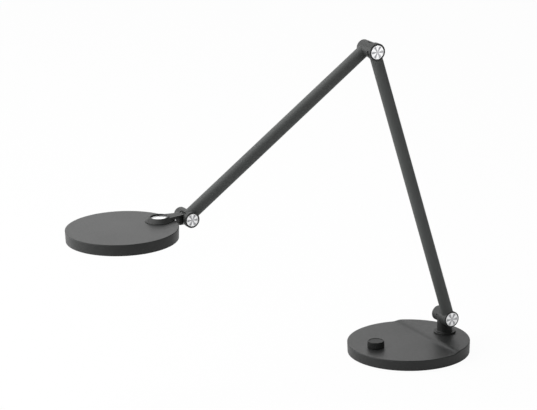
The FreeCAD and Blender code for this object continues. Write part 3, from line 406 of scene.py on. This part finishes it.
base_step = (STEP_START_X, STEP_END_X, STEP_ABOVE_Z, STEP_RELIEF)
dress(moulded("shell_plastic", level=0.017, rough=0.42, gloss=0.32, step=base_step), "base_cover")
dress(moulded("knob_plastic_face", level=0.013, rough=0.42, gloss=0.12, pits_per_metre=2600.0,
              relief=0.00003), "knob_cap")
dress(moulded("cap_plastic", level=0.018, rough=0.55),
      "post_back_cap", "elbow_back_cap", "head_hinge_back_cap", "diffuser_ring")
dress(moulded("black_plastic", level=0.012, rough=0.5),
      "dc_socket", "encoder_body", "encoder_rotor")
dress(moulded("bearing_plastic_white", level=0.62, rough=0.45),
      "swivel_bush", "post_friction_disc", "elbow_friction_disc", "head_hinge_front_washer",
      "head_hinge_back_washer", "head_swivel_washer")

# %% [markdown]
# ## The bright caps
# Each hinge ends in a bright metal cap, and the neck has a plain bright disc. They are turned on a
# lathe, which leaves fine rings round the centre. On the hinge caps the reflection of the lights
# forms six soft dark rays and a grey hub, and this reflection is painted into the colour. In polar
# coordinates that is simple: rings are a noise that reads only the radius, and the painted rays are
# the cosine of six times the angle, faded out at the rim and gathered at the hub.

# %% Turned metal
# The painted reflection on the hinge caps: six rays, where they fade at the rim and the hub, the
# hub's grey and the rays' colour.
RAYS = 6.0
RAY_COSINES = (-0.8, 1.0)
RIM_SHARES = (0.96, 0.80)
HUB_SHARES = (0.42, 0.05)
HUB_SHADE_SHARE = 0.75
PAINTED_RAY_COLOUR = (0.36, 0.36, 0.375, 1)
SILVER_DARK = (0.86, 0.865, 0.87, 1)
SILVER_LIGHT = (0.96, 0.962, 0.965, 1)
TURNING_PER_METRE = 6500.0
TURNING_DETAIL = 2.0
TURNING_ROUGHNESS = 0.12
HANDLING_PER_METRE = 300.0
HANDLING_ROUGHNESS = 0.08
TURNED_ROUGH = 0.36
METAL_RELIEF = 0.00001
METAL_RELIEF_STRENGTH = 0.5


def turned_metal(name, centre, flat, radius, painted_rays):
    """Bright metal turned about a centre; flat names the two axes of its face."""
    finish = Finish(name, Metallic=1.0)
    coordinates = dict(zip("XYZ", finish.axes(finish.place(centre))))
    across, along = coordinates[flat[0]], coordinates[flat[1]]
    distance = (across * across + along * along) ** 0.5
    rings = finish.node("ShaderNodeTexNoise", {"noise_dimensions": "1D"},
                        {"W": distance, "Scale": TURNING_PER_METRE, "Detail": TURNING_DETAIL})
    handling = finish.noise(finish.place(), HANDLING_PER_METRE)
    silver = finish.blend(rings, SILVER_DARK, SILVER_LIGHT)
    # Painted reflection: the six soft dark rays and grey hub that lights make in turned metal go
    # into the colour.
    if painted_rays:
        angle = finish.node("ShaderNodeMath", {"operation": "ARCTAN2"}, {0: along, 1: across})
        wave = finish.node("ShaderNodeMath", {"operation": "COSINE"}, {0: angle * RAYS})
        ray = finish.ramp(wave, *RAY_COSINES)
        rim = finish.ramp(distance, *(radius * share for share in RIM_SHARES))
        hub = finish.ramp(distance, *(radius * share for share in HUB_SHARES))
        shade = ray * rim * (1 - hub) + hub * HUB_SHADE_SHARE
        silver = finish.blend(shade, silver, PAINTED_RAY_COLOUR)
    finish.set("Base Color", silver)
    finish.set("Roughness", wander(TURNED_ROUGH, (rings, TURNING_ROUGHNESS),
                                   (handling, HANDLING_ROUGHNESS)))
    finish.bump(rings, METAL_RELIEF, METAL_RELIEF_STRENGTH)
    return finish.material


for name in ("post_cap", "elbow_cap", "head_hinge_cap"):
    low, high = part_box(name)
    dress(turned_metal(name + "_metal", (low + high) / 2, "XZ", (high.x - low.x) / 2, True), name)
low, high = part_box("neck_cap")
dress(turned_metal("neck_disc_metal", (low + high) / 2, "XY", (high.x - low.x) / 2, False),
      "neck_cap")

# %% [markdown]
# ## Screws, nuts and the bottom plate
# Most of these are hidden inside, but each piece still gets what it is made of: zinc-plated steel
# with fine brush marks. A noise stretched along one axis gives the marks their direction. The set
# screw in the post is blackened, so it reads as a dark hole.

# %% Plated steel
STREAKS_PER_METRE = 60.0
STREAK_DETAIL = 4.0
STREAK_COLOUR_SHARE = 0.6
STREAK_ROUGHNESS = 0.2
TARNISH_PER_METRE = 40.0
TARNISH_SHARE = 0.75
TARNISH_TINT = 0.03
ZINC_TINT = 0.05
PLATED_ROUGH = 0.35


def brushed(name, level, stretch):
    """Plated steel; stretch squeezes the brush marks along each axis."""
    finish = Finish(name, Metallic=1.0)
    streak = finish.noise(finish.place(scale=stretch), STREAKS_PER_METRE, STREAK_DETAIL)
    tarnish = finish.noise(finish.place(), TARNISH_PER_METRE)
    colour = finish.blend(weighted(streak, tarnish, STREAK_COLOUR_SHARE),
                          grey(level * TARNISH_SHARE, TARNISH_TINT), grey(level, ZINC_TINT))
    finish.set("Base Color", colour)
    finish.set("Roughness", wander(PLATED_ROUGH, (streak, STREAK_ROUGHNESS)))
    finish.bump(streak, METAL_RELIEF, METAL_RELIEF_STRENGTH)
    return finish.material


hardware = ("base_screws", "knob_shaft", "swivel_washer", "swivel_nut", "swivel_tube", "post_bolt",
            "post_cone_washer", "post_nut", "elbow_bolt", "elbow_cone_washer", "elbow_nut",
            "head_hinge_bolt", "head_hinge_nut", "head_swivel_pin", "head_swivel_nut")
dress(brushed("plated_steel", level=0.62, stretch=(40, 4, 40)), *hardware)
dress(brushed("bottom_plate_zinc", level=0.55, stretch=(4, 60, 60)), "base_plate")
dress(brushed("blacked_steel", level=0.008, stretch=(30, 30, 30)), "post_set_screw")

# %% [markdown]
# ## Iron and rubber
# The ballast is rough cast iron, the pad under the base is matt rubber, and the leads have a soft
# black sleeve. All three are one grainy noise at different scales, so one helper serves them.

# %% Rough solids
ROUGH_DETAIL = 5.0
ROUGH_DARK_SHARE = 0.7
ROUGH_SWING = 0.15


def rough_solid(name, colour, rough, grain_per_metre, relief, metallic=0.0):
    finish = Finish(name, Metallic=metallic)
    grain = finish.noise(finish.place(), grain_per_metre, ROUGH_DETAIL)
    dark = tuple(channel * ROUGH_DARK_SHARE for channel in colour[:3]) + (1,)
    finish.set("Base Color", finish.blend(grain, dark, colour))
    finish.set("Roughness", wander(rough, (grain, ROUGH_SWING)))
    finish.bump(grain, relief)
    return finish.material


dress(rough_solid("ballast_iron", grey(0.10), rough=0.7, grain_per_metre=500.0, relief=0.0003,
                  metallic=0.6), "base_weight")
dress(rough_solid("pad_rubber_black", grey(0.016), rough=0.8, grain_per_metre=900.0,
                  relief=0.0001), "base_pad")
dress(rough_solid("lead_sleeve_black", grey(0.02), rough=0.6, grain_per_metre=1200.0,
                  relief=0.00005), "lower_wire", "upper_wire")

# %% [markdown]
# ## Boards and lights
# The driver board is green and the round light board white, both lacquered over straight copper
# lines. A Brick texture's mortar makes such lines without drawing any. The light chips are small
# blocks of yellow phosphor.

# %% Lacquered boards
LINE_OFFSET = 0.37
LINE_WIDTH = 0.03
LINE_SHARE = 0.6
LINE_RELIEF = 0.00004
LACQUER_GRAIN_PER_METRE = 900.0
LACQUER_GRAIN_SHARE = 0.15
LACQUER_GLOSS = 0.5
LACQUER_ROUGH = 0.35
LACQUER_SWING = 0.1
BOARD_GREEN = (0.01, 0.10, 0.035, 1)
LINE_GREEN = (0.05, 0.22, 0.09, 1)
BOARD_WHITE = (0.72, 0.73, 0.72, 1)
LINE_WHITE = (0.85, 0.86, 0.85, 1)
PHOSPHOR_YELLOW = (0.85, 0.66, 0.10, 1)


def lacquered_board(name, base, line, lines_per_metre):
    finish = Finish(name, Specular_IOR_Level=LACQUER_GLOSS)
    where = finish.place()
    pattern = finish.node("ShaderNodeTexBrick", {"offset": LINE_OFFSET},
                          {"Vector": where, "Scale": lines_per_metre, "Mortar Size": LINE_WIDTH,
                           "Color1": BLACK, "Color2": BLACK, "Mortar": WHITE}, "Fac")
    grain = finish.noise(where, LACQUER_GRAIN_PER_METRE)
    lines = pattern * LINE_SHARE + grain * LACQUER_GRAIN_SHARE
    finish.set("Base Color", finish.blend(lines, base, line))
    finish.set("Roughness", wander(LACQUER_ROUGH, (grain, LACQUER_SWING)))
    finish.bump(pattern, LINE_RELIEF)
    return finish.material


dress(lacquered_board("green_board", BOARD_GREEN, LINE_GREEN, lines_per_metre=90.0),
      "driver_board")
dress(lacquered_board("white_board_lacquer", BOARD_WHITE, LINE_WHITE, lines_per_metre=60.0),
      "light_board")
dress(rough_solid("phosphor", PHOSPHOR_YELLOW, rough=0.35, grain_per_metre=1500.0,
                  relief=0.00003), "light_chips")

# %% [markdown]
# ## The opal diffuser
# A milky acrylic disc covers the lights. It is a satin white with painted shade near its ring,
# where the housing shades it, so it looks deeper there than at the middle; a faint cloud keeps it
# from looking like paper.

# %% Opal disc
OPAL_MIDDLE = (0.88, 0.88, 0.86, 1)
# The ring's painted shade: its colour, where it starts and how much of the tone it sets.
OPAL_EDGE_SHADE = (0.74, 0.74, 0.73, 1)
EDGE_START_SHARE = 0.75
EDGE_SHADE_SHARE = 0.7
MILK_PER_METRE = 25.0
MILK_ROUGHNESS = 0.08
OPAL_GLOSS = 0.45
OPAL_ROUGH = 0.40
SATIN_PER_METRE = 1800.0
SATIN_RELIEF = 0.00002


def opal(name, centre, radius):
    finish = Finish(name, Specular_IOR_Level=OPAL_GLOSS)
    away = finish.node("ShaderNodeVectorMath", {"operation": "LENGTH"},
                       {0: finish.place(centre)}, "Value")
    # Painted shade: the tone darkens towards the ring, where the housing shades the disc.
    edge_shade = finish.ramp(away, radius * EDGE_START_SHARE, radius)
    milk = finish.noise(finish.place(), MILK_PER_METRE)
    finish.set("Base Color", finish.blend(weighted(edge_shade, milk, EDGE_SHADE_SHARE),
                                          OPAL_MIDDLE, OPAL_EDGE_SHADE))
    finish.set("Roughness", wander(OPAL_ROUGH, (milk, MILK_ROUGHNESS)))
    finish.bump(finish.noise(finish.place(), SATIN_PER_METRE), SATIN_RELIEF)
    return finish.material


low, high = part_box("diffuser")
dress(opal("opal_acrylic", (low + high) / 2, (high.x - low.x) / 2), "diffuser")
print("materials:", len(bpy.data.materials))

# %% [markdown]
# ## Grip ribs on the knob
# The side of the knob has fine straight ribs for the fingers. They repeat round a circle, so
# Geometry Nodes is the natural tool: a circle of points, a six-sided rod on each, leaned to follow
# the knob's taper. The tree ends in real geometry with its material set, and the result is kept as
# a plain mesh.

# %% A small Geometry Nodes helper
class Tree:
    """A Geometry Nodes tree with named inputs, built a node at a time."""

    def __init__(self, name):
        self.group = bpy.data.node_groups.new(name, "GeometryNodeTree")
        self.group.interface.new_socket("Geometry", in_out="OUTPUT",
                                        socket_type="NodeSocketGeometry")
        self.inputs = {}

    def ask(self, name, kind):
        """A named input of the tree."""
        socket = self.group.interface.new_socket(name, in_out="INPUT",
                                                 socket_type="NodeSocket" + kind)
        self.inputs[name] = socket.identifier

    def node(self, kind, settings, inputs, out=0):
        made = self.group.nodes.new(kind)
        for name, value in settings.items():
            setattr(made, name, value)
        for socket, value in inputs.items():
            if isinstance(value, bpy.types.NodeSocket):
                self.group.links.new(value, made.inputs[socket])
            else:
                made.inputs[socket].default_value = value
        return made.outputs[out]


def grow(name, tree, values):
    """Run a tree with these inputs and keep its result as a plain mesh object at the origin."""
    seed = bpy.data.objects.new(name + "_seed", bpy.data.meshes.new(name + "_seed"))
    bpy.context.scene.collection.objects.link(seed)
    modifier = seed.modifiers.new("grow", "NODES")
    modifier.node_group = tree.group
    for label, value in values.items():
        modifier[tree.inputs[label]] = value
    graph = bpy.context.evaluated_depsgraph_get()
    mesh = bpy.data.meshes.new_from_object(seed.evaluated_get(graph))
    bpy.data.objects.remove(seed)
    piece = bpy.data.objects.new(name, mesh)
    bpy.context.scene.collection.objects.link(piece)
    return piece


# %% Ribs by Geometry Nodes
RIB_COUNT = 64
RIB_RADIUS = 0.00035
RIB_PROUD = 0.00012
RIB_SIDES = 6
KNOB_TAPER = 0.0004
KNOB_EDGE = 0.0008


def rib_tree():
    tree = Tree("knob_ribs")
    for name, kind in (("Count", "Int"), ("Ring Radius", "Float"), ("Rib Radius", "Float"),
                       ("Length", "Float"), ("Lean", "Vector"), ("Centre", "Vector"),
                       ("Material", "Material")):
        tree.ask(name, kind)
    given = tree.group.nodes.new("NodeGroupInput").outputs
    circle = tree.node("GeometryNodeMeshCircle", {},
                       {"Vertices": given["Count"], "Radius": given["Ring Radius"]})
    rod = tree.node("GeometryNodeMeshCylinder", {},
                    {"Vertices": RIB_SIDES, "Radius": given["Rib Radius"],
                     "Depth": given["Length"]}, "Mesh")
    outward = tree.node("GeometryNodeInputPosition", {}, {})
    turn = tree.node("FunctionNodeAlignEulerToVector", {"axis": "X", "pivot_axis": "Z"},
                     {"Vector": outward})
    ribs = tree.node("GeometryNodeInstanceOnPoints", {},
                     {"Points": circle, "Instance": rod, "Rotation": turn})
    leaned = tree.node("GeometryNodeRotateInstances", {},
                       {"Instances": ribs, "Rotation": given["Lean"]})
    moved = tree.node("GeometryNodeTransform", {},
                      {"Geometry": leaned, "Translation": given["Centre"]})
    real = tree.node("GeometryNodeRealizeInstances", {}, {"Geometry": moved})
    done = tree.node("GeometryNodeSetMaterial", {},
                     {"Geometry": real, "Material": given["Material"]})
    tree.group.links.new(done, tree.group.nodes.new("NodeGroupOutput").inputs["Geometry"])
    return tree


knob_low, knob_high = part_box("knob_cap")
knob_centre = (knob_low + knob_high) / 2
knob_radius = (knob_high.x - knob_low.x) / 2
rib_length = (knob_high.z - knob_low.z) - 2 * KNOB_EDGE
ribs = grow("knob_ribs", rib_tree(), {
    "Count": RIB_COUNT,
    "Ring Radius": knob_radius - KNOB_TAPER / 2 - RIB_RADIUS + RIB_PROUD,
    "Rib Radius": RIB_RADIUS,
    "Length": rib_length,
    "Lean": (0.0, -math.atan2(KNOB_TAPER, rib_length), 0.0),
    "Centre": knob_centre[:],
    "Material": moulded("knob_rib_plastic", level=0.018, rough=0.4, gloss=0.28)})
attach(ribs, "knob")
print("knob ribs:", len(ribs.data.polygons), "faces")

# %% [markdown]
# ## The floor
# The lamp stands on a white floor that fades into its surroundings. A painted floor would turn grey
# towards the back, so most of what the camera sees of it is a plain glow, and only a little is the
# lit surface with the lamp's soft shadow. Polished parts see a weaker glow, or their undersides
# would shine.

# %% Floor
FLOOR_SIZE = 24.0
FLOOR_GAP = 0.0002
FLOOR_LEVEL = 0.86
FLOOR_ROUGH = 0.9
FLOOR_GLOW_SHARE = 0.96
MIRRORED_GLOW_SHARE = 0.3

half = FLOOR_SIZE / 2
corners = [(-half, -half, 0), (half, -half, 0), (half, half, 0), (-half, half, 0)]
floor_mesh = bpy.data.meshes.new("floor")
floor_mesh.from_pydata(corners, [], [(0, 1, 2, 3)])
floor = bpy.data.objects.new("floor", floor_mesh)
floor.location.z = cad_low.z - FLOOR_GAP
bpy.context.scene.collection.objects.link(floor)

pale = Finish("floor_white", Base_Color=grey(FLOOR_LEVEL), Roughness=FLOOR_ROUGH,
              Specular_IOR_Level=0.0)
lit = Field(pale, pale.shader.outputs["BSDF"])
glow = pale.node("ShaderNodeEmission", {}, {"Color": WHITE})
mirrored = pale.ray("Glossy") + pale.ray("Transmission")
glow_share = pale.ray("Camera") * FLOOR_GLOW_SHARE + mirrored * MIRRORED_GLOW_SHARE
mixed = pale.node("ShaderNodeMixShader", {}, {"Fac": glow_share, 1: lit, 2: glow})
pale.feed(pale.tree.nodes["Material Output"].inputs["Surface"], mixed)
floor_mesh.materials.append(pale.material)
print("floor at", round(floor.location.z, 4))

# %% [markdown]
# ## The surroundings
# The camera sees plain white all round. Reflections see a studio that is white behind the lamp and
# to its left and dark to the right and in front, which gives dark paint its shape. Everything else
# gets a weak even light, so that no side is ever quite black.

# %% World
AMBIENT = 0.30
DARK_SIDE = 0.16
BRIGHT_BACK = 0.5
BRIGHT_LEFT = 0.85
BRIGHT_COSINES = (-0.45, 0.40)

world = bpy.data.worlds.new("studio")
bpy.context.scene.world = world
world.use_nodes = True
background = world.node_tree.nodes["Background"]
background.inputs["Color"].default_value = WHITE

studio = Shading(world.node_tree)
direction = studio.node("ShaderNodeTexCoord", {}, {}, "Generated")
bright_side = (view_forward * BRIGHT_BACK - view_right * BRIGHT_LEFT).normalized()
facing = studio.node("ShaderNodeVectorMath", {"operation": "DOT_PRODUCT"},
                     {0: direction, 1: bright_side[:]}, "Value")
reflected = studio.ramp(facing, *BRIGHT_COSINES) * (1 - DARK_SIDE) + DARK_SIDE
by_camera = studio.ray("Camera")
by_mirror = studio.node("ShaderNodeMath", {"operation": "MAXIMUM"},
                        {0: studio.ray("Glossy"), 1: studio.ray("Transmission")})
unseen = by_mirror * reflected + (1 - by_mirror) * AMBIENT
studio.feed(background.inputs["Strength"], by_camera + (1 - by_camera) * unseen)
print("bright side:", tuple(round(x, 2) for x in bright_side))

# %% [markdown]
# ## The lamps
# The light itself is soft and comes mostly from the left: a broad lamp overhead, a large one in
# front to the left, and a tall strip further left that draws a bright line along the left edges. A
# weak card behind lights the top of the base and the head at a low angle, and a card at the right
# gives the bright caps something to reflect. Each is placed by metres behind, left of and above
# the middle of the lamp, seen from the camera.

# %% Lamps
LAMPS = (  # name, behind, left, above, width, height, watts
    ("overhead", 0.5, 0.9, 2.4, 2.6, 2.0, 36.0),
    ("left_strip", 0.9, 2.4, 0.5, 0.7, 2.2, 22.0),
    ("cap_card", -1.6, -2.6, -0.1, 1.2, 1.4, 14.0),
    ("back_card", 2.8, 0.7, 0.9, 2.2, 1.0, 5.0),
    ("left_front", -0.8, 2.4, 1.1, 2.0, 2.0, 60.0),
)


def soft_light(name, place, target, width, height, watts):
    lamp = bpy.data.lights.new(name, "AREA")
    lamp.shape = "RECTANGLE"
    lamp.size = width
    lamp.size_y = height
    lamp.energy = watts
    holder = bpy.data.objects.new(name, lamp)
    bpy.context.scene.collection.objects.link(holder)
    holder.location = place
    holder.visible_camera = False
    holder.rotation_euler = (target - place).to_track_quat("-Z", "Y").to_euler()


middle = (cad_low + cad_high) / 2
level_back = Vector((view_forward.x, view_forward.y, 0)).normalized()
for name, behind, left, above, width, height, watts in LAMPS:
    place = middle + level_back * behind - view_right * left + Vector((0, 0, above))
    soft_light(name, place, middle, width, height, watts)
